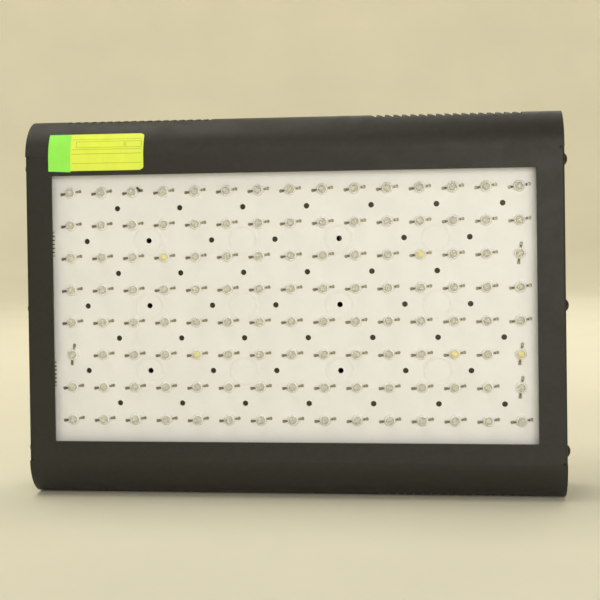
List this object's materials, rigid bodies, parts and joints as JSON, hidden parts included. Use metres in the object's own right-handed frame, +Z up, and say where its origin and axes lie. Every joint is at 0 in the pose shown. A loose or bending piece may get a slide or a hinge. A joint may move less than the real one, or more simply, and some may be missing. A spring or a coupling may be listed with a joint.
{
  "type": "led grow light",
  "caption": "Panel grow light: a rolled sheet-steel casing with a grid of domed emitters on a white board, louvred edges, rear fans and hanger ears.",
  "frame": {"origin": "under the middle of the panel as it stands on its long bottom edge, at the centre of its width and depth", "axes": "+X along the panel's length, to the right as seen from its lit face; -Y out of the lit face and +Y out of the back; +Z up along the short side. In use the panel hangs from its four ears with -Y pointing down."},
  "size_m": [0.381, 0.09, 0.268],
  "materials": {
    "charcoal_powder_coat": "fine satin texture",
    "white_board": "matt white solder mask",
    "clear_emitter": "clear dome on silver leads",
    "yellow_emitter": "phosphor under a clear dome",
    "bare_aluminium": "satin, as extruded",
    "black_anodised": "black anodised",
    "zinc_steel": "zinc plated",
    "black_screw": "black oxide",
    "guard_wire": "bright plated",
    "black_plastic": "moulded",
    "gloss_black_plastic": "moulded",
    "motor_winding": "enamelled copper wire",
    "contact_metal": "nickel plated",
    "brass_hardware": "plain",
    "ivory_plastic": "moulded",
    "ceramic_fuse": "glazed tube with metal caps",
    "wire_brown": "wire insulation",
    "wire_blue": "wire insulation",
    "wire_red": "wire insulation",
    "wire_black": "wire insulation"
  },
  "bodies": {
    "casing": {"front_cover": "charcoal_powder_coat", "left_end_plate": "charcoal_powder_coat", "right_end_plate": "charcoal_powder_coat", "back_panel": "charcoal_powder_coat", "side_screws": "black_screw", "side_clinch_nuts": "zinc_steel", "panel_screws": "black_screw", "panel_clinch_nuts": "zinc_steel", "led_board": "white_board", "clear_emitters": "clear_emitter", "yellow_emitters": "yellow_emitter", "board_studs": "zinc_steel", "board_spacers": "brass_hardware", "board_nuts": "zinc_steel", "board_connectors": "ivory_plastic", "left_heat_sink": "black_anodised", "right_heat_sink": "black_anodised", "heat_sink_screws": "zinc_steel", "left_fan_frame": "black_plastic", "right_fan_frame": "black_plastic", "left_fan_motor": "motor_winding", "right_fan_motor": "motor_winding", "left_fan_guard": "guard_wire", "right_fan_guard": "guard_wire", "fan_screws": "zinc_steel", "power_inlet": "black_plastic", "inlet_pins": "contact_metal", "power_outlet": "black_plastic", "outlet_contacts": "contact_metal", "socket_screws": "zinc_steel", "veg_switch": "black_plastic", "bloom_switch": "black_plastic", "left_led_driver": "bare_aluminium", "right_led_driver": "bare_aluminium", "driver_screws": "black_screw", "fan_supply": "ivory_plastic", "terminal_block": "ivory_plastic", "earth_stud": "brass_hardware", "upper_left_hanger": "zinc_steel", "upper_right_hanger": "zinc_steel", "lower_left_hanger": "zinc_steel", "lower_right_hanger": "zinc_steel", "hanger_rivets": "bare_aluminium", "mains_wire": "wire_brown", "driver_feed_wire": "wire_blue", "led_wires": "wire_red", "fan_wires": "wire_black"},
    "left_rotor": {"left_fan_rotor": "black_plastic"},
    "right_rotor": {"right_fan_rotor": "black_plastic"},
    "veg_rocker": {"veg_rocker": "gloss_black_plastic"},
    "bloom_rocker": {"bloom_rocker": "gloss_black_plastic"},
    "fuse_carrier": {"fuse_drawer": "black_plastic", "fuse": "ceramic_fuse"}
  },
  "joints": [
    {"name": "left_fan_spin", "type": "hinge", "parent": "casing", "child": "left_rotor", "pos_m": [-0.1115, 0.0133, 0.134], "axis": [0, 1, 0], "continuous": true},
    {"name": "right_fan_spin", "type": "hinge", "parent": "casing", "child": "right_rotor", "pos_m": [0.1115, 0.0133, 0.134], "axis": [0, 1, 0], "continuous": true},
    {"name": "veg_rocker_press", "type": "hinge", "parent": "casing", "child": "veg_rocker", "pos_m": [-0.017, 0.026, 0.11], "axis": [1, 0, 0], "range_deg": [0, 14]},
    {"name": "bloom_rocker_press", "type": "hinge", "parent": "casing", "child": "bloom_rocker", "pos_m": [0.017, 0.026, 0.11], "axis": [1, 0, 0], "range_deg": [0, 14]},
    {"name": "fuse_drawer_slide", "type": "slide", "parent": "casing", "child": "fuse_carrier", "axis": [0, 1, 0], "range_m": [0, 0.016]}
  ]
}
